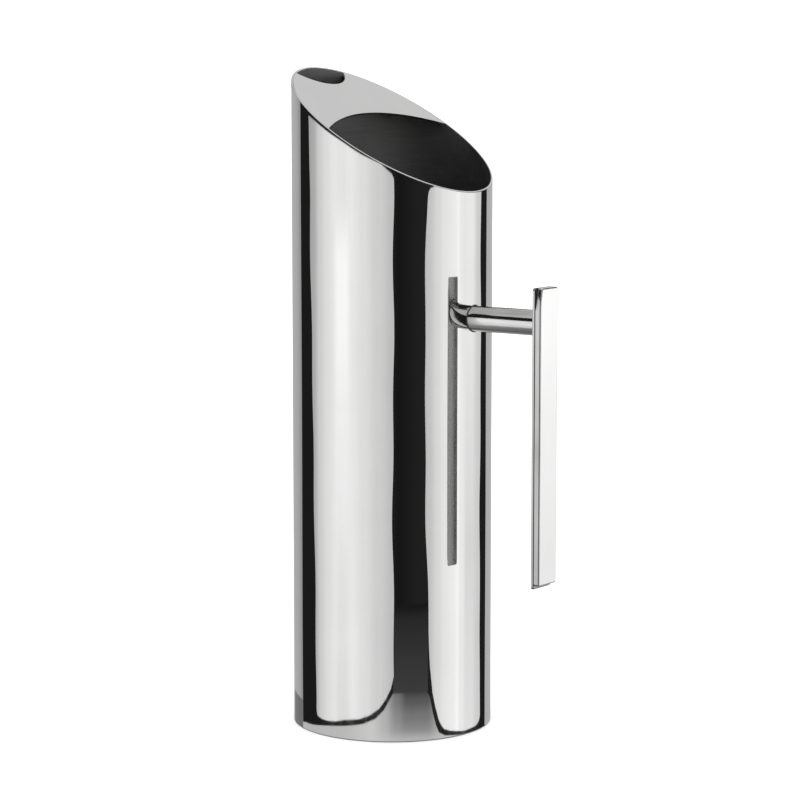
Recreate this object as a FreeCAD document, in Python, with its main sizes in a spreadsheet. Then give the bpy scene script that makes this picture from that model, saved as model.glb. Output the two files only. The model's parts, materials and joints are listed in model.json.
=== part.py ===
import FreeCAD, Part
import os
import re
import Sketcher

# A straight-sided stainless steel water jug, in millimetres.
# +Z is up, +X points from the body's axis to the handle, and -X is the spout.
# The origin is on the body's axis, in the plane that the foot stands on.
# The rim is one flat slanted cut. A flat ice guard closes its spout half, all
# but a lens-shaped pouring gap at the tip, and leaves the handle half open.
# Nothing moves: every joint is a weld. Pieces meet face to face.

SHEET = "Dimensions"

DIMENSIONS = [
    ("body_radius", 47.5, "outside radius of the body tube"),
    ("wall_thickness", 0.9, "sheet thickness of the body tube"),
    ("rim_height", 284.5, "height of the slanted rim plane on the body's axis"),
    ("rim_angle", 31, "slope of the rim in degrees, rising towards the spout"),
    ("rim_round", 0.25, "edge round on the rim"),
    ("foot_round", 0.6, "edge round at the foot of the body tube"),
    ("base_thickness", 0.9, "sheet thickness of the base pan"),
    ("base_height", 4, "height of the base pan's inside floor"),
    ("base_bend", 2, "outside bend radius between base and flange"),
    ("flange_lift", 0.6, "height of the base flange's lower edge"),
    ("base_weld_drop", 0.5, "depth of the weld bead below the base flange"),
    ("guard_thickness", 1, "sheet thickness of the ice guard"),
    ("blank_radius", 64, "radius of a blank that is wider than the rim"),
    ("mouth_radius", 98, "radius of the guard's concave edge over the mouth"),
    ("mouth_edge", 13.9, "distance up the slope from the axis to that edge"),
    ("spout_radius", 21.4, "radius of the pouring cut-out in the guard"),
    ("spout_edge", 39.6, "distance up the slope from the axis to the cut-out"),
    ("guard_weld_leg", 0.8, "leg of the weld bead under the ice guard"),
    ("stub_radius", 6, "outside radius of the handle's stub tube"),
    ("stub_wall", 1, "wall thickness of the stub tube"),
    ("stub_height", 197.2, "height of the stub tube's axis"),
    ("stub_weld_leg", 0.8, "leg of the weld bead between stub and body"),
    ("grip_weld_leg", 0.6, "leg of the weld ring between stub and grip"),
    ("grip_reach", 84.2, "distance from the body's axis to the grip's inner face"),
    ("grip_width", 15, "width of the grip"),
    ("grip_bottom", 76, "height of the grip shell's lower end"),
    ("grip_top", 213.8, "height of the grip's upper end"),
    ("grip_corner", 1.2, "corner radius of the grip's outline"),
    ("shell_depth", 3, "depth of the grip shell behind the back plate"),
    ("shell_wall", 1, "sheet thickness of the grip shell"),
    ("shell_round", 0.8, "edge round on the grip shell's outer face"),
    ("back_thickness", 1.6, "thickness of the grip's back plate"),
    ("back_overhang", 1.6, "length of the back plate below the shell"),
    ("back_round", 0.4, "edge round on the back plate's inner face"),
    ("seam_bevel", 0.2, "bevel on the back plate's edges along the seam"),
]
ALIASES = {alias for alias, _, _ in DIMENSIONS}

INNER_RADIUS = "(body_radius - wall_thickness)"
RIM_RISE = "tan(rim_angle)"
SEAM_REACH = "(grip_reach + back_thickness)"

TOLERANCE = 1e-4
LEFT, RIGHT = 1, -1

doc = FreeCAD.newDocument("water_pitcher")


def make_sheet():
    """Write each driving dimension as a plain number with its alias and meaning."""
    sheet = doc.addObject("Spreadsheet::Sheet", SHEET)
    for row, (alias, value, meaning) in enumerate(DIMENSIONS, start=1):
        sheet.set(f"A{row}", alias)
        sheet.set(f"B{row}", str(value))
        sheet.set(f"C{row}", meaning)
        sheet.setAlias(f"B{row}", alias)
    doc.recompute()
    return sheet


sheet = make_sheet()


# ---------------------------------------------------------------- sketches

def cells(formula):
    """A formula whose dimension names have become references to the sheet."""
    def reference(match):
        word = match.group(0)
        return f"{SHEET}.{word}" if word in ALIASES else word
    return re.sub(r"[a-z_]+", reference, formula)


def bind(sketch, constraint, formula):
    index = sketch.addConstraint(constraint)
    sketch.setExpression(f"Constraints[{index}]", cells(formula))


def new_sketch(body, name, role, along="0", up="0"):
    """A sketch on one of the body's origin planes, shifted along its normal and up."""
    sketch = body.newObject("Sketcher::SketchObject", f"{body.Name}_{name}")
    plane = next(item for item in body.Origin.OriginFeatures if item.Role == role)
    sketch.AttachmentSupport = [(plane, "")]
    sketch.MapMode = "FlatFace"
    sketch.setExpression("AttachmentOffset.Base.y", cells(up))
    sketch.setExpression("AttachmentOffset.Base.z", cells(along))
    return sketch


def rim_sketch(body, name):
    """A sketch on the slanted rim plane. Its +X runs down the slope to the handle."""
    sketch = new_sketch(body, name, "XY_Plane", along="rim_height")
    tilt = FreeCAD.Rotation(FreeCAD.Vector(0, 1, 0), 1)
    sketch.AttachmentOffset = FreeCAD.Placement(FreeCAD.Vector(), tilt)
    sketch.setExpression("AttachmentOffset.Rotation.Angle", cells("rim_angle"))
    return sketch


def circle(sketch, radius, x="0", y="0"):
    shape = Part.Circle(FreeCAD.Vector(), FreeCAD.Vector(0, 0, 1), 1)
    curve = sketch.addGeometry(shape)
    bind(sketch, Sketcher.Constraint("Radius", curve, 1), radius)
    bind(sketch, Sketcher.Constraint("DistanceX", -1, 1, curve, 3, 0), x)
    bind(sketch, Sketcher.Constraint("DistanceY", -1, 1, curve, 3, 0), y)


def polygon(sketch, *corners):
    """A closed outline. Each corner is a pair of formulas, measured from the origin."""
    count = len(corners)
    start = FreeCAD.Vector(1, 0, 0)
    turn = FreeCAD.Rotation(FreeCAD.Vector(0, 0, 1), 360 / count)
    for _ in range(count):
        end = turn.multVec(start)
        sketch.addGeometry(Part.LineSegment(start, end))
        start = end
    for line, (x, y) in enumerate(corners):
        following = (line + 1) % count
        sketch.addConstraint(Sketcher.Constraint("Coincident", line, 2, following, 1))
        bind(sketch, Sketcher.Constraint("DistanceX", -1, 1, line, 1, 0), x)
        bind(sketch, Sketcher.Constraint("DistanceY", -1, 1, line, 1, 0), y)


def rectangle(sketch, low, high):
    (left, bottom), (right, top) = low, high
    polygon(sketch, (left, bottom), (right, bottom), (right, top), (left, top))


# ---------------------------------------------------------------- features

def new_body(name):
    body = doc.addObject("PartDesign::Body", name)
    body.Label = name
    return body


def pad(body, sketch, length, reverse=False):
    feature = body.newObject("PartDesign::Pad", f"{sketch.Name}_pad")
    feature.Profile = sketch
    feature.Reversed = reverse
    feature.setExpression("Length", cells(length))
    doc.recompute()


def revolve(body, sketch, axis):
    feature = body.newObject("PartDesign::Revolution", f"{sketch.Name}_turned")
    feature.Profile = sketch
    feature.ReferenceAxis = (sketch, [axis])
    doc.recompute()


def cut(body, sketch, length=None, reverse=False, both_ways=False):
    """A pocket, right through if it has no length. It must take something away."""
    before = body.Tip.Shape.Volume
    feature = body.newObject("PartDesign::Pocket", f"{sketch.Name}_cut")
    feature.Profile = sketch
    feature.Reversed = reverse
    feature.SideType = "Symmetric" if both_ways else "One side"
    if length is None:
        feature.Type = "ThroughAll"
    else:
        feature.setExpression("Length", cells(length))
    doc.recompute()
    if before - feature.Shape.Volume < TOLERANCE:
        raise RuntimeError(f"{feature.Name} removes nothing")


def dress(body, kind, size_name, size, wanted):
    """Round or bevel the tip's edges that the test picks out."""
    tip = body.Tip
    edges = [f"Edge{number}" for number, edge in enumerate(tip.Shape.Edges, start=1)
             if wanted(edge)]
    if not edges:
        raise RuntimeError(f"{body.Name} has no edge for its {kind}")
    feature = body.newObject(f"PartDesign::{kind}", f"{body.Name}_{kind}_{len(body.Group)}")
    feature.Base = (tip, edges)
    feature.setExpression(size_name, cells(size))
    doc.recompute()


def round_edges(body, radius, wanted):
    dress(body, "Fillet", "Radius", radius, wanted)


def bevel_edges(body, size, wanted):
    dress(body, "Chamfer", "Size", size, wanted)


def at_height(height):
    """A test for edges that lie in one level plane."""
    def wanted(edge):
        box = edge.BoundBox
        return abs(box.ZMin - height) < TOLERANCE and abs(box.ZMax - height) < TOLERANCE
    return wanted


def at_reach(reach):
    """A test for edges that lie in one plane square to the stub's axis."""
    def wanted(edge):
        box = edge.BoundBox
        return abs(box.XMin - reach) < TOLERANCE and abs(box.XMax - reach) < TOLERANCE
    return wanted


def along_x(edge):
    """True for a straight edge that runs along X."""
    box = edge.BoundBox
    return box.XLength > TOLERANCE and box.YLength < TOLERANCE and box.ZLength < TOLERANCE


def upright(edge):
    """True for a straight edge that runs along Z."""
    box = edge.BoundBox
    return box.ZLength > TOLERANCE and box.XLength < TOLERANCE and box.YLength < TOLERANCE


def on_circle(edge, radius):
    """True for an edge that goes round the body's axis at this radius."""
    ends = (edge.valueAt(edge.FirstParameter), edge.valueAt(edge.LastParameter))
    return all(abs(end.x ** 2 + end.y ** 2 - radius ** 2) < 0.01 for end in ends)


# ---------------------------------------------------------------- the vessel

def make_body_wall():
    """The drawn tube, cut at a slant for the rim, with its edges rounded."""
    body = new_body("body_wall")
    ring = new_sketch(body, "ring", "XY_Plane")
    circle(ring, "body_radius")
    circle(ring, INNER_RADIUS)
    pad(body, ring, f"rim_height + body_radius * {RIM_RISE} + wall_thickness")

    above_rim = new_sketch(body, "above_rim", "XZ_Plane")
    high = f"rim_height + blank_radius * {RIM_RISE}"
    low = f"rim_height - blank_radius * {RIM_RISE}"
    polygon(above_rim, ("-blank_radius", high), ("blank_radius", low),
            ("blank_radius", f"{high} + blank_radius"),
            ("-blank_radius", f"{high} + blank_radius"))
    cut(body, above_rim, "2 * blank_radius", both_ways=True)

    def is_rim(edge):
        return not upright(edge) and edge.BoundBox.ZMin > sheet.rim_height / 2

    def is_foot(edge):
        return at_height(0)(edge) and on_circle(edge, sheet.body_radius)

    round_edges(body, "rim_round", is_rim)
    round_edges(body, "foot_round", is_foot)


def make_base_pan():
    """The pressed base: a flat floor whose flange stands down inside the tube."""
    body = new_body("base_pan")
    profile = new_sketch(body, "profile", "XZ_Plane")
    flange_inside = f"{INNER_RADIUS} - base_thickness"
    underside = "base_height - base_thickness"
    polygon(profile, ("0", "base_height"), (INNER_RADIUS, "base_height"),
            (INNER_RADIUS, "flange_lift"), (flange_inside, "flange_lift"),
            (flange_inside, underside), ("0", underside))
    revolve(body, profile, "V_Axis")
    round_edges(body, "base_bend", at_height(sheet.base_height))
    round_edges(body, "base_bend - base_thickness",
                at_height(sheet.base_height - sheet.base_thickness))


def make_base_weld():
    """The bead that seals the base's flange to the tube, just above the foot."""
    body = new_body("base_weld")
    profile = new_sketch(body, "profile", "XZ_Plane")
    polygon(profile, (INNER_RADIUS, "flange_lift"),
            (f"{INNER_RADIUS} - base_thickness", "flange_lift"),
            (INNER_RADIUS, "flange_lift - base_weld_drop"))
    revolve(body, profile, "V_Axis")


def cut_guard_outline(body):
    """Cut a blank under the rim plane to the mouth's edge, the spout and the tube."""
    mouth = rim_sketch(body, "mouth")
    circle(mouth, "mouth_radius", x="mouth_radius - mouth_edge")
    cut(body, mouth)

    spout = rim_sketch(body, "spout")
    circle(spout, "spout_radius", x="-(spout_edge + spout_radius)")
    cut(body, spout)

    trim = new_sketch(body, "trim", "XY_Plane")
    circle(trim, INNER_RADIUS)
    circle(trim, "2 * blank_radius")
    cut(body, trim, reverse=True)


def make_ice_guard():
    """The flat plate that lies flush in the rim and holds back the ice."""
    body = new_body("ice_guard")
    blank = rim_sketch(body, "blank")
    circle(blank, "blank_radius")
    pad(body, blank, "guard_thickness", reverse=True)
    cut_guard_outline(body)


def make_guard_weld(name, side):
    """One bead in the corner under the ice guard, from the mouth to the spout."""
    body = new_body(name)
    blank = rim_sketch(body, "blank")
    circle(blank, "blank_radius")
    pad(body, blank, "guard_thickness + guard_weld_leg", reverse=True)

    plate = rim_sketch(body, "plate")
    circle(plate, "2 * blank_radius")
    cut(body, plate, "guard_thickness")

    other_half = new_sketch(body, "other_half", "XY_Plane")
    rectangle(other_half, ("-2 * blank_radius", "0"),
              ("2 * blank_radius", f"{-2 * side} * blank_radius"))
    cut(body, other_half, reverse=True)
    cut_guard_outline(body)

    core = new_sketch(body, "core", "XY_Plane")
    circle(core, f"{INNER_RADIUS} - guard_weld_leg")
    cut(body, core, reverse=True)


# ---------------------------------------------------------------- the handle

def make_handle_stub():
    """The short tube that carries the grip, coped to sit on the body."""
    body = new_body("handle_stub")
    ring = new_sketch(body, "ring", "YZ_Plane")
    circle(ring, "stub_radius", y="stub_height")
    circle(ring, "stub_radius - stub_wall", y="stub_height")
    pad(body, ring, "grip_reach")

    cope = new_sketch(body, "cope", "XY_Plane")
    circle(cope, "body_radius")
    cut(body, cope, reverse=True)


def cylinder(name, radius, height):
    shape = doc.addObject("Part::Cylinder", name)
    shape.setExpression("Radius", cells(radius))
    shape.setExpression("Height", cells(height))
    return shape


def subtract(name, base, tool):
    result = doc.addObject("Part::Cut", name)
    result.Base = base
    result.Tool = tool
    return result


def make_stub_body_weld():
    """The bead of weld all round the stub, in the corner where it meets the body."""
    vessel = cylinder("weld_vessel", "body_radius", "2 * stub_height")
    tube = cylinder("weld_tube", "stub_radius", "grip_reach")
    tube.Placement.Rotation = FreeCAD.Rotation(FreeCAD.Vector(0, 1, 0), 90)
    tube.setExpression("Placement.Base.z", cells("stub_height"))

    joined = doc.addObject("Part::MultiFuse", "weld_joined")
    joined.Shapes = [vessel, tube]
    doc.recompute()

    def is_joint(edge):
        middle = edge.valueAt((edge.FirstParameter + edge.LastParameter) / 2)
        off_tube = (middle.y ** 2 + (middle.z - sheet.stub_height) ** 2) ** 0.5
        return abs(off_tube - sheet.stub_radius) < 0.01 and on_circle(edge, sheet.body_radius)

    leg = sheet.stub_weld_leg
    beaded = doc.addObject("Part::Chamfer", "weld_beaded")
    beaded.Base = joined
    beaded.Edges = [(number, leg, leg)
                    for number, edge in enumerate(joined.Shape.Edges, start=1)
                    if is_joint(edge)]
    outside_vessel = subtract("weld_outside_vessel", beaded, vessel)
    weld = subtract("stub_body_weld", outside_vessel, tube)
    weld.Label = "stub_body_weld"
    doc.recompute()


def make_stub_grip_weld():
    """The small ring of weld between the stub and the grip's back plate."""
    body = new_body("stub_grip_weld")
    profile = new_sketch(body, "profile", "XZ_Plane", up="stub_height")
    polygon(profile, ("grip_reach", "stub_radius"),
            ("grip_reach", "stub_radius + grip_weld_leg"),
            ("grip_reach - grip_weld_leg", "stub_radius"))
    revolve(body, profile, "H_Axis")


def grip_outline(body, name, along, bottom, inset="0"):
    """The grip's rectangle, square to X, drawn in by an inset on all four sides."""
    outline = new_sketch(body, name, "YZ_Plane", along=along)
    rectangle(outline, (f"-grip_width / 2 + {inset}", f"{bottom} + {inset}"),
              (f"grip_width / 2 - {inset}", f"grip_top - {inset}"))
    return outline


def make_grip_back_plate():
    """The flat strip that closes the grip on the side of the body."""
    body = new_body("grip_back_plate")
    outline = grip_outline(body, "outline", "grip_reach", "grip_bottom - back_overhang")
    pad(body, outline, "back_thickness")
    round_edges(body, "grip_corner", along_x)
    round_edges(body, "back_round", at_reach(sheet.grip_reach))
    bevel_edges(body, "seam_bevel", at_reach(sheet.grip_reach + sheet.back_thickness))


def make_grip_shell():
    """The pressed outer half of the grip, hollow behind its face."""
    body = new_body("grip_shell")
    outline = grip_outline(body, "outline", SEAM_REACH, "grip_bottom")
    pad(body, outline, "shell_depth")
    round_edges(body, "grip_corner", along_x)
    outer_face = sheet.grip_reach + sheet.back_thickness + sheet.shell_depth
    round_edges(body, "shell_round", at_reach(outer_face))

    hollow = grip_outline(body, "hollow", SEAM_REACH, "grip_bottom", inset="shell_wall")
    cut(body, hollow, "shell_depth - shell_wall", reverse=True)


# ---------------------------------------------------------------- hand-over

def check_document():
    """Stop if any object failed, or if any sub-part has no valid solid."""
    for item in doc.Objects:
        if "Invalid" in item.State or "Error" in item.State:
            raise RuntimeError(f"{item.Label} is in state {item.State}")


def export(node):
    shape = doc.getObject(node).Shape
    if shape.isNull() or not shape.isValid() or not shape.Solids:
        raise RuntimeError(f"{node} has no valid solid")
    shape.exportStep(f"parts/{node}.step")
    box = shape.BoundBox
    print(f"{node:16s} {len(shape.Solids)} solid, {shape.Volume:10.1f} mm3,"
          f" x {box.XMin:7.2f} {box.XMax:7.2f}, y {box.YMin:7.2f} {box.YMax:7.2f},"
          f" z {box.ZMin:7.2f} {box.ZMax:7.2f}")


make_body_wall()
make_base_pan()
make_base_weld()
make_ice_guard()
make_guard_weld("guard_weld_left", LEFT)
make_guard_weld("guard_weld_right", RIGHT)
make_handle_stub()
make_stub_body_weld()
make_stub_grip_weld()
make_grip_back_plate()
make_grip_shell()

doc.recompute()
check_document()
os.makedirs("parts", exist_ok=True)
for node in ("body_wall", "base_pan", "base_weld", "ice_guard", "guard_weld_left",
             "guard_weld_right", "handle_stub", "stub_body_weld", "stub_grip_weld",
             "grip_back_plate", "grip_shell"):
    export(node)
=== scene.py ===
import json
import math

import bmesh
import bpy
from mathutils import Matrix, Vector


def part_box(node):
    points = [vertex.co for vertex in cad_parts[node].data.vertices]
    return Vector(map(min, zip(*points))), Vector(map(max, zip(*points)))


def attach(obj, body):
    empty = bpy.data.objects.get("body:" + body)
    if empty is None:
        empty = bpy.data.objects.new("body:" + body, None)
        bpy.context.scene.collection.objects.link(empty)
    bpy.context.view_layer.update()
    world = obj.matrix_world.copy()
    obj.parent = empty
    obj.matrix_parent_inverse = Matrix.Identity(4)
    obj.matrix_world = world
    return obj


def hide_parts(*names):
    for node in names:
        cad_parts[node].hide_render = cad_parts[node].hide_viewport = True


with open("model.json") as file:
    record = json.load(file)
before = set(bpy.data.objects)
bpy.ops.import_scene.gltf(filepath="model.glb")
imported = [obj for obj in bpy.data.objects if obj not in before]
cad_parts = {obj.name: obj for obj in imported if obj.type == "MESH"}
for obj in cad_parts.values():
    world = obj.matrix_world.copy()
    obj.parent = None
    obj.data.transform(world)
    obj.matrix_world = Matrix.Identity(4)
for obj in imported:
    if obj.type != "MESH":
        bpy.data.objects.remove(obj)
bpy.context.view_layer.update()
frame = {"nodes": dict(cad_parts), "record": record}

# A mirror-polished steel water jug, in metres, in the frame's own axes.
# +Z is up, +X points to the handle, and the spout is at -X.

MM, MICRON = 1e-3, 1e-6
SLOTS = {entry["node"]: entry["material_slot"] for entry in frame["record"]["subparts"]}

# ---------------------------------------------------------------- sizes

WALL_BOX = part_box("body_wall")
STUB_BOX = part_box("handle_stub")
BACK_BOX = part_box("grip_back_plate")
SHELL_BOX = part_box("grip_shell")
PAN_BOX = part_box("base_pan")

# The visual tube stays a hair inside the CAD's box, which follows the CAD's facets.
BODY_RADIUS = WALL_BOX[1].y - 0.01 * MM
RIM_HEIGHT = 284.4 * MM
RIM_SLOPE = math.tan(math.radians(31))
RIM_TILT = math.hypot(1, RIM_SLOPE)
SHEET = 0.9 * MM
INNER_RADIUS = BODY_RADIUS - SHEET
RIM_ROUND = 0.25 * MM
FOOT_ROUND = 0.6 * MM
DENT_HEIGHT = 0.02 * MM
PAN_BEND = 2 * MM
GUARD_THICKNESS = 1 * MM
GUARD_EDGE = 0.12 * MM
# Each cut in the guard is a circle. Its edge crosses the middle of the jug this far from
# the axis, towards the spout and along the rim's plane.
MOUTH_RADIUS, MOUTH_EDGE = 98 * MM, 13.9 * MM
SPOUT_RADIUS, SPOUT_EDGE = 21.4 * MM, 39.6 * MM
STUB_RADIUS = (STUB_BOX[1].z - STUB_BOX[0].z) / 2
STUB_HEIGHT = (STUB_BOX[1].z + STUB_BOX[0].z) / 2
STUB_WALL = 1 * MM
BODY_BEAD, GRIP_BEAD = 0.5 * MM, 0.4 * MM
GRIP_CORNER, LEAST_CORNER = 1.2 * MM, 0.05 * MM
BACK_EASE, SEAM_BEVEL = 0.4 * MM, 0.3 * MM
SHELL_WALL, SHELL_ROUND, SHELL_LIP = 1 * MM, 0.8 * MM, 0.25 * MM
# Over this length below the grip's top, buffing has drawn the shell's near side in.
EASE_LENGTH, EASE_STEPS = 9.5 * MM, 20
SHELL_EASE, SHELL_CROWN = 1.3 * MM, 0.45 * MM


def rim_height(x):
    """The height of the slanted rim plane above a point at this x."""
    return RIM_HEIGHT - RIM_SLOPE * x


# ---------------------------------------------------------------- node helpers

class Nodes:
    """A short way to build one material's node tree."""

    def __init__(self, tree):
        self.tree = tree
        self.tree.nodes.clear()

    def add(self, kind, settings=None, **inputs):
        node = self.tree.nodes.new(kind)
        for name, value in (settings or {}).items():
            setattr(node, name, value)
        for name, value in inputs.items():
            self.feed(node.inputs[name.replace("_", " ")], value)
        return node

    def feed(self, socket, value):
        if isinstance(value, bpy.types.NodeSocket):
            self.tree.links.new(value, socket)
        else:
            socket.default_value = value


def new_material(name):
    material = bpy.data.materials.new(name)
    material.use_nodes = True
    return material, Nodes(material.node_tree)


def grey(level):
    return (level, level, level, 1)


def shine(nodes, color):
    """Make the material give off this light and nothing else."""
    light = nodes.add("ShaderNodeEmission", Color=color)
    nodes.add("ShaderNodeOutputMaterial", Surface=light.outputs["Emission"])


# ---------------------------------------------------------------- the studio

CAMERA_AZIMUTH, CAMERA_ELEVATION = math.radians(36.15), math.radians(7.71)
CAMERA_DISTANCE = 1.3
CAMERA_AIM_HEIGHT = 0.150
CAMERA_ASIDE, CAMERA_UP = 3.705 * MM, 5.27 * MM
CAMERA_LENS, CAMERA_SENSOR = 122.53, 36

# The cards stand on cylinders round the jug, the softboxes nearest to it. Their heights
# are set by where their images fall on the jug, so the table's card is below the floor.
STUDIO_RADIUS, CARD_GAP = 0.33, 2 * MM
PATCH_RADIUS = STUDIO_RADIUS + CARD_GAP
FLAG_RADIUS = PATCH_RADIUS + CARD_GAP
APRON_RADIUS = FLAG_RADIUS + CARD_GAP
BACKDROP_RADIUS = APRON_RADIUS + CARD_GAP
DISC_RADIUS = BACKDROP_RADIUS + 2 * CARD_GAP
TABLE, CEILING = -0.088, 0.70
STEEL_LEVEL = 0.80
EDGE_WAVE = 1.2
FLOOR_RADIUS = 12
SKY_STRENGTH = 1.6


def direction(azimuth, elevation=0.0):
    """A unit vector towards an azimuth that is 0 at -Y and a quarter turn at +X."""
    level = math.cos(elevation)
    return Vector((math.sin(azimuth) * level, -math.cos(azimuth) * level, math.sin(elevation)))


def make_camera():
    centre = Vector((0, 0, CAMERA_AIM_HEIGHT))
    outward = direction(CAMERA_AZIMUTH, CAMERA_ELEVATION)
    across = direction(CAMERA_AZIMUTH + math.pi / 2)
    aim = centre + across * CAMERA_ASIDE + Vector((0, 0, CAMERA_UP))
    place = centre + outward * CAMERA_DISTANCE
    camera = bpy.data.objects.new("camera", bpy.data.cameras.new("camera"))
    camera.location = place
    camera.rotation_euler = (aim - place).to_track_quat("-Z", "Y").to_euler()
    camera.data.lens = CAMERA_LENS
    camera.data.sensor_width = CAMERA_SENSOR
    camera.data.clip_start, camera.data.clip_end = 0.05, 50
    bpy.context.scene.collection.objects.link(camera)
    bpy.context.scene.camera = camera


def new_object(name, points, faces, materials):
    mesh = bpy.data.meshes.new(name)
    mesh.from_pydata([tuple(point) for point in points], [], faces)
    for material in materials:
        mesh.materials.append(material)
    thing = bpy.data.objects.new(name, mesh)
    bpy.context.scene.collection.objects.link(thing)
    return thing


def lit(tone):
    """The light a card gives to look this bright, from 0 to 1, in polished steel."""
    linear = tone / 12.92 if tone <= 0.04045 else ((tone + 0.055) / 1.055) ** 2.4
    return grey(linear / STEEL_LEVEL)


def ramp(nodes, place, stops):
    """A smooth scale along one coordinate. stops are (position, colour) pairs."""
    scale = nodes.add("ShaderNodeValToRGB", Fac=place)
    scale.color_ramp.interpolation = "EASE"
    while len(scale.color_ramp.elements) < len(stops):
        scale.color_ramp.elements.new(0.5)
    for element, (position, color) in zip(scale.color_ramp.elements, stops):
        element.position = position
        element.color = color
    return scale.outputs["Color"]


def glow(name, across, upward=None, window=None):
    """A light-giving material. Its tone runs across the card through (azimuth, tone)
    stops. Where window lets it, the tone runs up the card through (height, tone) stops."""
    material, nodes = new_material(name)
    place = nodes.add("ShaderNodeUVMap", {"uv_map": "card"})
    split = nodes.add("ShaderNodeSeparateXYZ", Vector=place.outputs["UV"])
    color = ramp(nodes, split.outputs["X"], [(card_u(a), lit(tone)) for a, tone in across])
    if upward:
        up = ramp(nodes, split.outputs["Y"], [(card_v(h), lit(tone)) for h, tone in upward])
        share = ramp(nodes, split.outputs["X"], [(card_u(a), grey(part)) for a, part in window])
        mix = nodes.add("ShaderNodeMix", {"data_type": "RGBA"})
        nodes.feed(mix.inputs["Factor"], share)
        nodes.feed(mix.inputs[6], color)
        nodes.feed(mix.inputs[7], up)
        color = mix.outputs[2]
    shine(nodes, color)
    return material


def axis_distance(nodes, place):
    """The distance of a point from the jug's axis, as a node output."""
    split = nodes.add("ShaderNodeSeparateXYZ", Vector=place)
    level = nodes.add("ShaderNodeCombineXYZ", X=split.outputs["X"], Y=split.outputs["Y"])
    length = nodes.add("ShaderNodeVectorMath", {"operation": "LENGTH"},
                       Vector=level.outputs["Vector"])
    return length.outputs["Value"]


def round_glow(name, stops):
    """A light-giving material whose tone follows the distance from the axis, in metres."""
    material, nodes = new_material(name)
    distance = axis_distance(nodes, nodes.add("ShaderNodeTexCoord").outputs["Object"])
    shine(nodes, ramp(nodes, distance, [(place, lit(tone)) for place, tone in stops]))
    return material


def card_u(azimuth):
    """Where an azimuth in degrees lies on the cards' shared scale from 0 to 1."""
    start, end = -130, 250
    return (azimuth - start) / (end - start)


def card_v(height):
    """Where a height in metres lies on the cards' shared scale from 0 to 1."""
    low, high = -0.1, 0.7
    return (height - low) / (high - low)


def mirror_only(thing):
    """Let only reflections see this, neither the camera nor the floor."""
    thing.visible_camera = False
    thing.visible_diffuse = False
    thing.visible_shadow = False
    thing.visible_transmission = False
    thing.visible_volume_scatter = False


def between_stops(stops, position):
    """Straight-line values between stops of (position, value, value)."""
    for low, high in zip(stops, stops[1:]):
        if position <= high[0]:
            part = (position - low[0]) / (high[0] - low[0])
            return tuple(a + (b - a) * part for a, b in zip(low[1:], high[1:]))
    return stops[-1][1:]


def card_rows(spans, by_height):
    """Positions along a card, close enough together that every piece of it is nearly flat."""
    longest_rise, longest_turn, longest_slide = 3 * MM, 2, 1.5
    positions = [spans[0][0]]
    for low, high in zip(spans, spans[1:]):
        length = (high[0] - low[0]) / (longest_rise if by_height else longest_turn)
        slide = max(abs(high[1] - low[1]), abs(high[2] - low[2])) / longest_slide
        count = max(2, math.ceil(length), math.ceil(slide) if by_height else 0)
        positions += [low[0] + (high[0] - low[0]) * (i + 1) / count for i in range(count)]
    return positions


def edge_wave(height):
    """Degrees by which a softbox's image wanders in the slightly uneven steel."""
    return EDGE_WAVE * math.sin(62 * height + 1.3) * math.sin(23 * height + 0.4)


def card(name, spans, radius, material, by_height=True, columns=60):
    """A card bent round the jug. Azimuths are in degrees from the camera, growing to its
    right, and heights in metres. spans lists (height, left, right), or with by_height off
    (azimuth, low, high), and the outline runs straight between them."""
    points, uvs = [], []
    positions = card_rows(spans, by_height)
    for position in positions:
        start, end = between_stops(spans, position)
        for column in range(columns + 1):
            other = start + (end - start) * column / columns
            azimuth, height = (other, position) if by_height else (position, other)
            if by_height:
                azimuth += edge_wave(height)
            turned = CAMERA_AZIMUTH + math.radians(azimuth)
            points.append(direction(turned) * radius + Vector((0, 0, height)))
            uvs.append((card_u(azimuth), card_v(height)))
    step = columns + 1
    faces = [(r * step + c, r * step + c + 1, (r + 1) * step + c + 1, (r + 1) * step + c)
             for r in range(len(positions) - 1) for c in range(columns)]
    sheet = new_object(name, points, faces, [material])
    layer = sheet.data.uv_layers.new(name="card")
    for loop in sheet.data.loops:
        layer.data[loop.index].uv = uvs[loop.vertex_index]
    mirror_only(sheet)


def band(name, spans, radius, material):
    """A card whose outline is listed by azimuth: (azimuth, low, high)."""
    card(name, spans, radius, material, by_height=False)


def disc(name, radius, height, material):
    """A flat round plate centred on the jug's axis."""
    count = 96
    points = [direction(math.tau * i / count) * radius + Vector((0, 0, height))
              for i in range(count)]
    plate = new_object(name, points, [tuple(range(count))], [material])
    return plate


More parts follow.
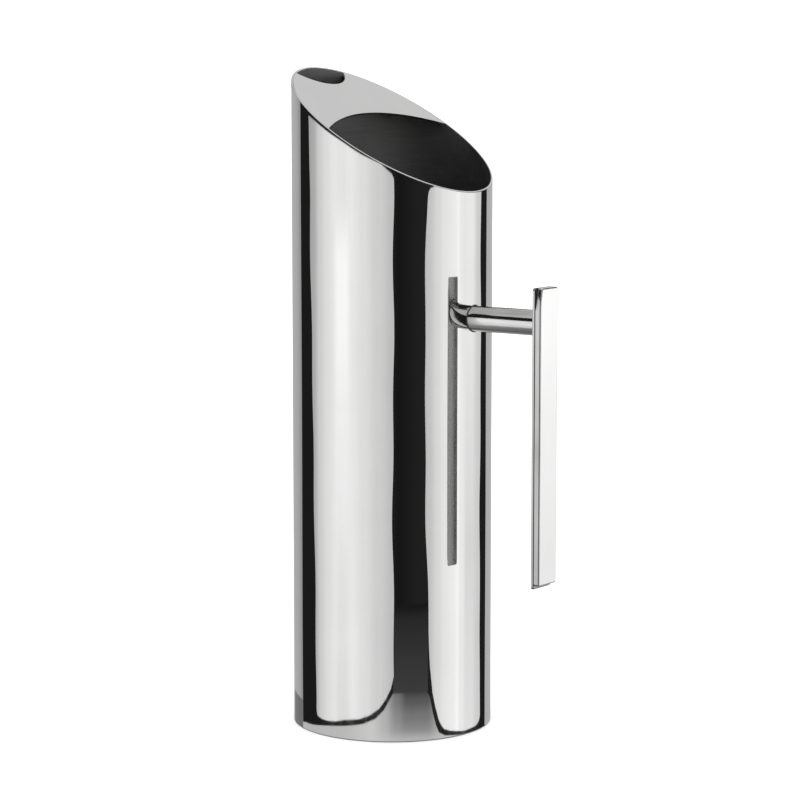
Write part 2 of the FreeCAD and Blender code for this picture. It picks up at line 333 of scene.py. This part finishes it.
# The cards' outlines. Softboxes: (height, left, right).
LEFT_SOFTBOX = [(-0.0658, -85, -78), (-0.0648, -92, -66), (-0.0628, -93.5, -55),
                (-0.0608, -94, -37), (-0.0577, -94, -25), (-0.0536, -94, -15),
                (-0.0482, -94.2, -8), (-0.0422, -94.3, -2.5), (-0.035, -94.5, 0.8),
                (0.050, -95, 0.8), (0.120, -97.5, 0.8), (0.165, -99, 1.0), (0.238, -101, 1.8),
                (0.2485, -101.6, 1.5), (0.2515, -101.8, -0.5), (0.2532, -102, -4),
                (0.2575, -102, -12), (0.2635, -102.2, -34), (0.2708, -102.5, -57),
                (0.2783, -102.8, -84), (0.2830, -103.5, -102)]
RIGHT_SOFTBOX = [(-0.0757, 88, 108), (-0.0738, 76, 114), (-0.0718, 66, 116), (-0.069, 58, 117),
                 (-0.062, 51, 116.5), (-0.054, 46.5, 116), (-0.046, 43.5, 116),
                 (-0.030, 41, 116), (-0.010, 39.5, 115.8), (0.020, 38.2, 115.5),
                 (0.050, 36.8, 115.5), (0.100, 35.1, 115.5), (0.165, 34.8, 115.5),
                 (0.220, 37, 115.5), (0.238, 38, 115.5), (0.2415, 39, 115.5),
                 (0.2435, 41, 115.5), (0.2445, 45, 115.5), (0.300, 60, 115.5)]
# The black flag behind the softboxes shows as the dark bands and the thin dark outline.
# Its foot follows them round: (azimuth, height).
FLAG_TOP, FLAG_MIDDLE = 0.46, -0.0455
FLAG_FOOT = [(-121.5, -0.0762), (-115, -0.0750), (-100, -0.0737), (-79, -0.0710),
             (-54, -0.0677), (-32, -0.0642), (-18, -0.0604), (-9, -0.0553), (-3, -0.0493),
             (1.0, FLAG_MIDDLE), (37.5, FLAG_MIDDLE), (41, -0.049), (45, -0.0595),
             (52, -0.0722), (60, -0.0760), (75, -0.0780), (102, -0.0815), (131, -0.0845)]


def make_backdrop():
    """Grey behind the jug, seen in its two edges and in the ice guard, with a darker foot
    on the left and a dark top that outlines the stub."""
    back = glow("backdrop_grey", [(129, 0.66), (145, 0.65), (165, 0.67), (180, 0.70),
                                  (205, 0.62), (228, 0.60), (238, 0.55)],
                [(-0.09, 0.66), (0.30, 0.68), (0.42, 0.81), (0.70, 0.81)],
                [(129, 0.0), (150, 0.6), (220, 0.5), (238, 0.0)])
    low = glow("backdrop_low", [(150, 0.655), (180, 0.68), (200, 0.60), (212, 0.45),
                                (236, 0.42)])
    dark = glow("rear_dark", [(170, 0.14), (238, 0.14)])
    low_top, dark_foot, dark_step = -0.062, 0.32, 0.44
    band("backdrop", [(129, TABLE, CEILING), (239.5, TABLE, CEILING)], BACKDROP_RADIUS, back)
    band("backdrop_low", [(150, TABLE, low_top), (238, TABLE, low_top)], FLAG_RADIUS, low)
    band("rear_high", [(170, dark_foot, dark_step), (186, dark_foot, dark_step),
                       (188, dark_foot, CEILING), (238, dark_foot, CEILING)], FLAG_RADIUS, dark)


def make_front(ceiling):
    """The black flag with its lighter foot, the table's front below it and the grey above."""
    flag = glow("flag_black", [(-123, 0.10), (2, 0.10), (6, 0.085), (30, 0.12), (129, 0.11)])
    foot = glow("flag_foot", [(0, 0.18), (20, 0.20), (40, 0.16)],
                [(-0.046, 0.23), (-0.030, 0.21), (-0.014, 0.18), (-0.004, 0.16), (0.006, 0.09)],
                [(0, 1.0), (40, 1.0)])
    apron = glow("table_front", [(-123, 0.70), (-60, 0.72), (-20, 0.78), (60, 0.76), (129, 0.78)],
                 [(-0.085, 0.80), (-0.075, 0.66), (-0.069, 0.54), (-0.060, 0.45), (-0.052, 0.35),
                  (-0.046, 0.26), (-0.043, 0.23)],
                 [(-22, 0.0), (-9, 0.35), (4, 0.8), (16, 1.0), (38, 1.0), (56, 0.4), (64, 0.0)])
    gap_foot, gap_top, apron_top, foot_top = 0.275, 0.47, 0.02, 0.006
    band("front_grey", [(-123, FLAG_TOP, CEILING), (131, FLAG_TOP, CEILING)], FLAG_RADIUS, ceiling)
    band("front_high", [(-4, gap_foot, gap_top), (44, gap_foot, gap_top)], PATCH_RADIUS, ceiling)
    band("apron", [(-121.5, TABLE, apron_top), (131, TABLE, apron_top)], APRON_RADIUS, apron)
    band("flag_foot", [(0.5, FLAG_MIDDLE, foot_top), (39, FLAG_MIDDLE, foot_top)],
         PATCH_RADIUS, foot)
    band("flag", [(azimuth, low, FLAG_TOP) for azimuth, low in FLAG_FOOT], FLAG_RADIUS, flag)


def make_softboxes():
    """The two large lights, which show as the bright bands."""
    left = glow("softbox_left", [(-104, 0.62), (-95, 0.66), (-85, 0.80), (-75, 0.86),
                                 (-65, 0.895), (-60, 0.93), (-57, 0.975), (-54, 0.945),
                                 (-45, 0.905), (-30, 0.86), (-15, 0.80), (1, 0.735)],
                [(-0.06, 0.855), (-0.005, 0.88), (0.09, 0.925), (0.17, 0.965), (0.20, 0.965),
                 (0.24, 0.89)],
                [(-68, 0.0), (-59, 1.0), (-52, 1.0), (-43, 0.0)])
    right = glow("softbox_right", [(34, 0.71), (40, 0.76), (50, 0.84), (58, 0.89), (70, 0.92),
                                   (76, 0.955), (80, 0.91), (92, 0.88), (104, 0.81), (115, 0.79)],
                 [(-0.03, 0.86), (0.03, 0.835), (0.10, 0.865), (0.18, 0.905), (0.24, 0.905)],
                 [(84, 0.0), (90, 1.0), (98, 1.0), (108, 0.0)])
    card("softbox_left", LEFT_SOFTBOX, STUDIO_RADIUS, left)
    card("softbox_right", RIGHT_SOFTBOX, STUDIO_RADIUS, right)


def make_studio():
    """All that the polished steel mirrors: cards all round, a ceiling and a table."""
    ceiling = glow("ceiling_grey", [(-130, 0.75), (250, 0.75)])
    # The table's card is darker towards the jug: painted shade round its foot, seen only in
    # reflections.
    table = round_glow("table_grey", [(0.05, 0.43), (0.20, 0.48), (0.34, 0.63)])
    make_backdrop()
    make_front(ceiling)
    make_softboxes()
    for name, height, material in (("ceiling", CEILING, ceiling), ("table", TABLE, table)):
        mirror_only(disc(name, DISC_RADIUS, height, material))


def make_floor():
    """A plain white floor under an even white sky."""
    material, nodes = new_material("floor_white")
    shader = nodes.add("ShaderNodeBsdfPrincipled", Base_Color=grey(0.95), Roughness=0.9,
                       Specular_IOR_Level=0)
    nodes.add("ShaderNodeOutputMaterial", Surface=shader.outputs["BSDF"])
    floor = disc("floor", FLOOR_RADIUS, 0.0, material)
    floor.visible_glossy = False

    world = bpy.data.worlds.new("sky")
    world.use_nodes = True
    nodes = Nodes(world.node_tree)
    light = nodes.add("ShaderNodeBackground", Color=grey(1.0), Strength=SKY_STRENGTH)
    nodes.add("ShaderNodeOutputWorld", Surface=light.outputs["Background"])
    bpy.context.scene.world = world
    bpy.context.scene.view_settings.view_transform = "Standard"


# ---------------------------------------------------------------- mesh helpers

def grid_piece(name, rows, materials, row_material=None, closed=False, ends=False):
    """Skin rows of points, each a closed ring. A ring of one point is a pole."""
    points, starts = [], []
    for ring in rows:
        starts.append(len(points))
        points.extend(ring)
    faces, indices = [], []
    following = list(range(1, len(rows))) + ([0] if closed else [])
    for number, (low, high) in enumerate(zip(range(len(rows)), following)):
        count = max(len(rows[low]), len(rows[high]))
        for i in range(count):
            j = (i + 1) % count
            corners = []
            for ring, step in ((low, i), (low, j), (high, j), (high, i)):
                index = starts[ring] + (step if len(rows[ring]) > 1 else 0)
                if index not in corners:
                    corners.append(index)
            faces.append(tuple(corners))
            indices.append(row_material[number] if row_material else 0)
    if ends:
        count, last = len(rows[0]), starts[-1]
        faces += [tuple(range(count))[::-1], tuple(range(last, last + count))]
        indices += [0, 0]
    piece = new_object(name, points, faces, materials)
    for polygon, index in zip(piece.data.polygons, indices):
        polygon.material_index = index
    return piece


def arc(centre, radius, start, end, steps):
    """Points on an arc in a flat section, as (across, up) pairs. Angles in degrees."""
    turns = [math.radians(start + (end - start) * i / steps) for i in range(steps + 1)]
    return [(centre[0] + radius * math.cos(t), centre[1] + radius * math.sin(t)) for t in turns]


def finish_piece(piece, node, sharp_angle=40):
    """Face outwards, shade smooth but for sharp edges, attach to the root and hide the CAD node.
    Large faces keep their own direction, so that flat steel reflects as flat."""
    shape = bmesh.new()
    shape.from_mesh(piece.data)
    bmesh.ops.recalc_face_normals(shape, faces=shape.faces)
    for face in shape.faces:
        face.smooth = True
    for edge in shape.edges:
        bent = len(edge.link_faces) == 2 and edge.calc_face_angle(0) > math.radians(sharp_angle)
        edge.smooth = not bent
    shape.to_mesh(piece.data)
    shape.free()
    weighted = piece.modifiers.new("weighted", "WEIGHTED_NORMAL")
    weighted.mode = "FACE_AREA"
    weighted.weight = 100
    weighted.keep_sharp = True
    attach(piece, "root")
    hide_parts(node)


# ---------------------------------------------------------------- materials

def tinted(level, tint):
    return (level * tint[0], level * tint[1], level * tint[2], 1)


def brush_grain(nodes, place, grain, rings):
    """Brush lines and fine scratches. grain gives their fineness along x, y and z, per
    metre, and with rings they run round the jug's axis."""
    if rings:
        distance = axis_distance(nodes, place)
        place = nodes.add("ShaderNodeCombineXYZ", X=distance).outputs["Vector"]
    stretched = nodes.add("ShaderNodeMapping", Vector=place, Scale=grain).outputs["Vector"]
    lines = nodes.add("ShaderNodeTexNoise", Vector=stretched, Scale=1.0, Detail=3.0,
                      Roughness=0.6)
    scratches = nodes.add("ShaderNodeTexVoronoi", {"feature": "DISTANCE_TO_EDGE"},
                          Vector=stretched, Scale=0.35)
    return lines.outputs["Fac"], scratches.outputs["Distance"]


def steel_color(nodes, lines, patches, level, spread, tint):
    """The metal's colour: it strays by spread to both sides of its level."""
    tone = nodes.add("ShaderNodeMath", {"operation": "MULTIPLY_ADD"})
    nodes.feed(tone.inputs[0], lines)
    nodes.feed(tone.inputs[1], 0.6)
    nodes.feed(tone.inputs[2], patches)
    color = nodes.add("ShaderNodeValToRGB", Fac=tone.outputs["Value"])
    dark, light = color.color_ramp.elements
    dark.position, dark.color = 0.45, tinted(level - spread, tint)
    light.position, light.color = 1.0, tinted(level + spread, tint)
    return color.outputs["Color"]


def steel_roughness(nodes, patches, scratches, roughness, smudge):
    """The metal's roughness: smudge is added in its patches and again on the scratches."""
    rough = nodes.add("ShaderNodeMapRange", Value=patches, From_Min=0.3, From_Max=0.75,
                      To_Min=roughness, To_Max=roughness + smudge)
    broken = nodes.add("ShaderNodeMapRange", Value=scratches, From_Max=0.04, To_Min=smudge,
                       To_Max=0.0)
    total = nodes.add("ShaderNodeMath", {"operation": "ADD"})
    nodes.feed(total.inputs[0], rough.outputs["Result"])
    nodes.feed(total.inputs[1], broken.outputs["Result"])
    return total.outputs["Value"]


def steel_relief(nodes, place, lines, relief, wave):
    """The metal's bumps: brush lines this deep, over broad unevenness this high."""
    bump = nodes.add("ShaderNodeBump", Height=lines, Strength=1.0, Distance=relief)
    if wave:
        broad = nodes.add("ShaderNodeTexNoise", Vector=place, Scale=13.0, Detail=0.0)
        bump = nodes.add("ShaderNodeBump", Height=broad.outputs["Fac"], Strength=1.0,
                         Distance=wave, Normal=bump.outputs["Normal"])
    return bump.outputs["Normal"]


def steel(name, level, roughness, grain, spread=0.02, smudge=0.03, wave=0.0, relief=1.0,
          tint=(1.0, 1.0, 0.995), rings=False):
    """Bare steel. spread is how far its lightness strays and smudge how far its roughness
    does. relief is the depth of its brush lines and wave the height of its broad
    unevenness, both in thousandths of a millimetre."""
    material, nodes = new_material(name)
    place = nodes.add("ShaderNodeTexCoord").outputs["Object"]
    lines, scratches = brush_grain(nodes, place, grain, rings)
    patches = nodes.add("ShaderNodeTexNoise", Vector=place, Scale=34.0, Detail=4.0,
                        Roughness=0.55, Distortion=0.4).outputs["Fac"]
    shader = nodes.add("ShaderNodeBsdfPrincipled", Metallic=1.0,
                       Base_Color=steel_color(nodes, lines, patches, level, spread, tint),
                       Roughness=steel_roughness(nodes, patches, scratches, roughness, smudge),
                       Normal=steel_relief(nodes, place, lines, relief * MICRON, wave * MICRON))
    nodes.add("ShaderNodeOutputMaterial", Surface=shader.outputs["BSDF"])
    return material


MIRROR = steel("mirror_steel", STEEL_LEVEL, 0.02, (500, 500, 20), smudge=0.010, wave=40,
               relief=0.15)
GUARD_FACE = steel("guard_steel", STEEL_LEVEL, 0.04, (30, 700, 30), wave=20, relief=0.3)
# The inside is satin steel; its low level makes it darker than the steel is, partly as painted
# shade.
INSIDE_SATIN_AND_SHADE = steel("inside_satin_and_shade", 0.25, 0.48, (60, 60, 1600), spread=0.05, smudge=0.1, relief=3.0)
PAN = steel("spun_steel", 0.5, 0.30, (1800, 1, 1), spread=0.06, smudge=0.1, relief=4.0,
            rings=True)
# The stub is the same steel made darker than the mirror steel: painted shade.
STUB_PAINTED_SHADE = steel("stub_painted_shade", 0.60, 0.07, (25, 1100, 1100), spread=0.12, smudge=0.06)
# The grip's face is the same steel made lighter than the mirror steel: a painted highlight.
GRIP_PAINTED_HIGHLIGHT = steel("grip_painted_highlight", 0.97, 0.03, (900, 900, 25), relief=0.2)
# The grip's sides are the same steel made darker than the mirror steel: painted shade.
GRIP_SIDE_PAINTED_SHADE = steel("grip_side_painted_shade", 0.48, 0.10, (900, 900, 25), spread=0.08, smudge=0.06)
# The back plate is the same steel made darker than the mirror steel: painted shade.
GRIP_BACK_PAINTED_SHADE = steel("grip_back", 0.38, 0.16, (900, 900, 30), spread=0.06, smudge=0.08, relief=2.0)
# The seam strips are the same steel made near black: painted shade in the gaps between the plates.
SEAM_PAINTED_SHADE = steel("seam_painted_shade", 0.10, 0.35, (900, 900, 200), spread=0.05, smudge=0.1, relief=4.0)
WELD = steel("weld_steel", 0.42, 0.28, (900, 900, 900), spread=0.12, smudge=0.12, relief=12.0,
             tint=(1.03, 1.0, 0.94))
# The beads' warm tint and roughness are the weld's own; their darkness is partly painted shade.
BEAD_TINT_AND_SHADE = steel("bead_tint_and_shade", 0.12, 0.24, (1200, 1200, 1200), spread=0.08, smudge=0.12, relief=10.0,
             tint=(1.02, 1.0, 0.96))

# The welds of the base and the guard have no piece here, and show as the CAD made them.
for node_name, node in frame["nodes"].items():
    node.data.materials.clear()
    node.data.materials.append(MIRROR if SLOTS[node_name] == "mirror_steel" else WELD)


# ---------------------------------------------------------------- the vessel

def dent(angle, part):
    """Slight waves that rolling and polishing leave in thin sheet, at this part of the
    height. They only ever lie inwards."""
    ends = math.sin(math.pi * part) ** 0.5 if 0 < part < 1 else 0.0
    wave = (math.sin(9 * angle + 2.2 + 3 * part) * math.sin(5 * part + 1.0)
            + 0.6 * math.sin(5 * angle + 0.4 - 4 * part) + 0.4 * math.sin(14 * angle + 6 * part))
    return DENT_HEIGHT * ends * (wave - 2.0)


def wall_height(x, part):
    """The height at this part of the way up the wall, from its foot round to its rim round."""
    return FOOT_ROUND + (rim_height(x) - RIM_ROUND - FOOT_ROUND) * part


def make_body():
    """The tube: foot round, outer wall, rounded rim, inner wall, as one closed skin."""
    columns, wall_rows, round_steps = 288, 40, 4
    angles = [math.tau * i / columns for i in range(columns)]

    def ring(radius, height_at):
        return [(radius * math.cos(a), radius * math.sin(a), height_at(radius * math.cos(a)))
                for a in angles]

    def dented_ring(part):
        return [((BODY_RADIUS + dent(a, part)) * math.cos(a),
                 (BODY_RADIUS + dent(a, part)) * math.sin(a),
                 wall_height(BODY_RADIUS * math.cos(a), part)) for a in angles]

    def rim_rings(centre, start, end):
        return [ring(across, lambda x: rim_height(x) - (RIM_ROUND - up))
                for across, up in arc((centre, 0.0), RIM_ROUND, start, end, round_steps)]

    outer = [ring(INNER_RADIUS, lambda x: 0.0)]
    outer += [ring(across, lambda x: up) for across, up in
              arc((BODY_RADIUS - FOOT_ROUND, FOOT_ROUND), FOOT_ROUND, -90, 0, round_steps)]
    outer += [dented_ring(step / wall_rows) for step in range(1, wall_rows)]
    outer += rim_rings(BODY_RADIUS - RIM_ROUND, 0, 90)
    inner = rim_rings(INNER_RADIUS + RIM_ROUND, 90, 180)
    outer += inner[:-1]
    inner = inner[-1:] + [ring(INNER_RADIUS, lambda x: wall_height(x, 1 - step / wall_rows))
                          for step in range(1, wall_rows)]
    skins = [0] * len(outer) + [1] * len(inner)
    # The inner skin takes the satin steel that is darkened partly as painted shade.
    body = grid_piece("body_tube", outer + inner, [MIRROR, INSIDE_SATIN_AND_SHADE], skins, closed=True)
    finish_piece(body, "body_wall")


def make_base():
    """The pressed pan: floor, bend and flange, in the same sheet as the body."""
    columns, bend_steps = 192, 6
    top, lift = PAN_BOX[1].z, PAN_BOX[0].z
    bend_centre = (INNER_RADIUS - PAN_BEND, top - PAN_BEND)
    inner_ring = 0.6 * INNER_RADIUS
    outline = [(0.0, top), (inner_ring, top)]
    outline += arc(bend_centre, PAN_BEND, 90, 0, bend_steps)
    outline += [(INNER_RADIUS, lift), (INNER_RADIUS - SHEET, lift)]
    outline += arc(bend_centre, PAN_BEND - SHEET, 0, 90, bend_steps)
    outline += [(inner_ring, top - SHEET), (0.0, top - SHEET)]
    angles = [math.tau * i / columns for i in range(columns)]
    rows = [[(r * math.cos(a), r * math.sin(a), z) for a in angles] if r else [(0.0, 0.0, z)]
            for r, z in outline]
    pan = grid_piece("base_dish", rows, [PAN])
    finish_piece(pan, "base_pan", sharp_angle=30)


def cut_end(centre, radius, side):
    """The angle on a cut's circle at which it runs into the tube's wall. side is 1 for the
    half of the circle towards the handle, and -1 for the other."""
    low, high = 0.0, math.pi / 2
    for _ in range(50):
        middle = (low + high) / 2
        along = centre + side * radius * math.cos(middle)
        if (along / RIM_TILT) ** 2 + (radius * math.sin(middle)) ** 2 >= INNER_RADIUS ** 2:
            high = middle
        else:
            low = middle
    return low


def cut_edge(centre, radius, side, steps):
    """Points along a cut from one side of the wall to the other."""
    end = cut_end(centre, radius, side)
    turns = [end - 2 * end * i / steps for i in range(steps + 1)]
    return [(centre + side * radius * math.cos(t), side * radius * math.sin(t), False)
            for t in turns]


def wall_angle(point):
    """The angle round the jug's axis at which an outline point lies."""
    along, across, _ = point
    return math.atan2(across, along / RIM_TILT)


def wall_edge(start, end, steps):
    """Points along the wall between two cuts, without the ends that the cuts have."""
    turns = [start + (end - start) * i / steps for i in range(1, steps)]
    return [(INNER_RADIUS * math.cos(t) * RIM_TILT, INNER_RADIUS * math.sin(t), True)
            for t in turns]


def guard_outline():
    """The ice guard's outline from above, in the rim plane's own axes (along, across).
    Each point says whether it lies on the tube's wall."""
    steps = 72
    mouth_centre = MOUTH_RADIUS - MOUTH_EDGE
    spout_centre = -(SPOUT_EDGE + SPOUT_RADIUS)
    mouth = cut_edge(mouth_centre, MOUTH_RADIUS, -1, steps)
    spout = cut_edge(spout_centre, SPOUT_RADIUS, 1, steps)
    start, end = wall_angle(mouth[-1]), wall_angle(spout[0])
    return mouth + wall_edge(start, end, steps) + spout + wall_edge(-end, -start, steps)


def make_guard():
    """The flat plate flush in the rim, with softened edges at the mouth and the spout."""
    down = Vector((-RIM_SLOPE, 0, -1)) / RIM_TILT
    upright = Vector((0, 0, -RIM_TILT))
    outline = guard_outline()
    top, bottom = [], []
    for along, across, on_wall in outline:
        x = along / RIM_TILT
        place = Vector((x, across, rim_height(x)))
        top.append(place)
        bottom.append(place + (upright if on_wall else down) * GUARD_THICKNESS)
    count = len(outline)
    faces = [tuple(range(count)), tuple(range(2 * count - 1, count - 1, -1))]
    faces += [(i, i + count, (i + 1) % count + count, (i + 1) % count) for i in range(count)]
    guard = new_object("guard_plate", top + bottom, faces, [GUARD_FACE])
    bevel = guard.modifiers.new("edge", "BEVEL")
    bevel.width = GUARD_EDGE
    bevel.segments = 3
    bevel.limit_method = "ANGLE"
    bevel.angle_limit = math.radians(40)
    finish_piece(guard, "ice_guard", sharp_angle=30)


# ---------------------------------------------------------------- the handle

def body_front(y):
    """How far the body's outside reaches towards the handle at this y."""
    return math.sqrt(BODY_RADIUS ** 2 - y ** 2)


def make_stub():
    """The stub tube, coped to the body, with its bore."""
    columns, steps = 96, 12
    angles = [math.tau * i / columns for i in range(columns)]
    reach = STUB_BOX[1].x
    bore = STUB_RADIUS - STUB_WALL

    def ring(radius, part):
        points = []
        for a in angles:
            y, z = radius * math.cos(a), radius * math.sin(a)
            near = body_front(y)
            points.append((near + (reach - near) * part, y, STUB_HEIGHT + z))
        return points

    rows = [ring(STUB_RADIUS, i / steps) for i in range(steps + 1)]
    rows += [ring(bore, 1 - i / steps) for i in range(steps + 1)]
    # The stub takes the steel darkened as painted shade.
    stub = grid_piece("stub_tube", rows, [STUB_PAINTED_SHADE], closed=True)
    finish_piece(stub, "handle_stub", sharp_angle=30)


def make_bead(name, node, foot_of, leg, away):
    """A hollow-faced ring of weld round the stub, with legs this long. foot_of gives the x
    of the surface it meets. away is 1 where the stub leaves that towards +X, else -1."""
    columns, steps = 96, 6
    rows = []
    section = [(STUB_RADIUS + leg - leg * math.cos(math.pi / 2 * i / steps),
                leg - leg * math.sin(math.pi / 2 * i / steps)) for i in range(steps + 1)]
    section.append((STUB_RADIUS, 0.0))
    for radius, height in section:
        ring = []
        for i in range(columns):
            a = math.tau * i / columns
            y, z = radius * math.cos(a), radius * math.sin(a)
            ring.append((foot_of(y) + away * height, y, STUB_HEIGHT + z))
        rows.append(ring)
    # The bead takes the weld-tinted steel, darkened partly as painted shade.
    bead = grid_piece(name, rows, [BEAD_TINT_AND_SHADE], closed=True)
    finish_piece(bead, node, sharp_angle=50)


def rounded_loop(half_width, low, high, corner, ease=0.0, crown=0.0, steps=6):
    """A rounded rectangle in (across, up), starting at its lower right corner.
    ease and crown are how far its left side draws in where the upper end was buffed."""
    corner = max(corner, LEAST_CORNER)
    heights = [high - corner - EASE_LENGTH * (1 - i / EASE_STEPS) for i in range(EASE_STEPS)]
    side = [(eased(height, high - corner, ease, crown) - half_width, height)
            for height in heights]
    loop = arc((half_width - corner, low + corner), corner, -90, 0, steps)
    loop += arc((half_width - corner, high - corner), corner, 0, 90, steps)
    loop += arc((ease + crown + corner - half_width, high - corner), corner, 90, 180, steps)
    loop += side[::-1]
    loop += arc((corner - half_width, low + corner), corner, 180, 270, steps)
    return loop


def eased(height, top, ease, crown):
    """How far a side has drawn in at this height: the crown early on, the ease towards
    the top."""
    part = (height - top + EASE_LENGTH) / EASE_LENGTH
    return ease * part ** 2 + crown * math.sin(math.pi / 2 * min(1, 2 * part))


def make_bar(name, node, box, section, materials, ends, ease=0.0):
    """A bar upright along Z. section lists (x, inset, crown, skin) from its inner to its
    outer end, where skin numbers the material of the strip that starts there. ends numbers
    the materials of the two flat ends."""
    half_width = (box[1].y - box[0].y) / 2
    rows, skins = [], []
    for x, inset, crown, skin in section:
        loop = rounded_loop(half_width - inset, box[0].z + inset, box[1].z - inset,
                            GRIP_CORNER - inset, ease, crown)
        rows.append([(x, across, up) for across, up in loop])
        skins.append(skin)
    bar = grid_piece(name, rows, materials, skins, ends=True)
    bar.data.polygons[-2].material_index, bar.data.polygons[-1].material_index = ends
    finish_piece(bar, node, sharp_angle=35)
    return bar


def make_back_plate():
    """The plate that the stub is welded to, its outer edges eased."""
    side, face, seam = 0, 1, 2
    low, high = BACK_BOX[0].x, BACK_BOX[1].x
    section = [(low + BACK_EASE - across, BACK_EASE - up, 0.0, side)
               for across, up in arc((0, 0), BACK_EASE, 0, 90, 4)]
    section += [(high - SEAM_BEVEL, 0.0, 0.0, seam), (high, SEAM_BEVEL, 0.0, seam)]
    # Its sides, face and seam take the steels darkened as painted shade.
    make_bar("grip_inner_plate", "grip_back_plate", BACK_BOX, section,
             [GRIP_SIDE_PAINTED_SHADE, GRIP_BACK_PAINTED_SHADE, SEAM_PAINTED_SHADE], (face, face))


def make_shell():
    """The hollow pressed shell. Its face and its upward-facing top take the painted highlight, and
    its sides and seam the painted shade.
    """
    side, face, seam = 0, 1, 2
    side_rows, facing_up = 6, 0.7
    low, high = SHELL_BOX[0].x, SHELL_BOX[1].x
    side_start, side_end = low + SHELL_LIP, high - SHELL_ROUND
    section = [(high - SHELL_WALL, SHELL_WALL, 0.0, side), (low, SHELL_WALL, SHELL_CROWN, seam),
               (low, SHELL_LIP, SHELL_CROWN, seam)]
    for step in range(side_rows):
        part = step / side_rows
        section.append((side_start + (side_end - side_start) * part, 0.0,
                        SHELL_CROWN * (1 - part) ** 2, side))
    section += [(side_end + across, SHELL_ROUND - up, 0.0, side) for across, up in
                arc((0, 0), SHELL_ROUND, 90, 0, 8)]
    shell = make_bar("grip_outer_shell", "grip_shell", SHELL_BOX, section,
                     [GRIP_SIDE_PAINTED_SHADE, GRIP_PAINTED_HIGHLIGHT, SEAM_PAINTED_SHADE], (side, face), ease=SHELL_EASE)
    # Upward-facing polygons get the painted highlight too, as a top lit from above.
    for polygon in shell.data.polygons:
        if polygon.normal.z > facing_up:
            polygon.material_index = face


make_body()
make_base()
make_guard()
make_stub()
make_bead("stub_bead", "stub_body_weld", body_front, BODY_BEAD, 1)
make_bead("grip_bead", "stub_grip_weld", lambda y: BACK_BOX[0].x, GRIP_BEAD, -1)
make_back_plate()
make_shell()
make_camera()
make_studio()
make_floor()
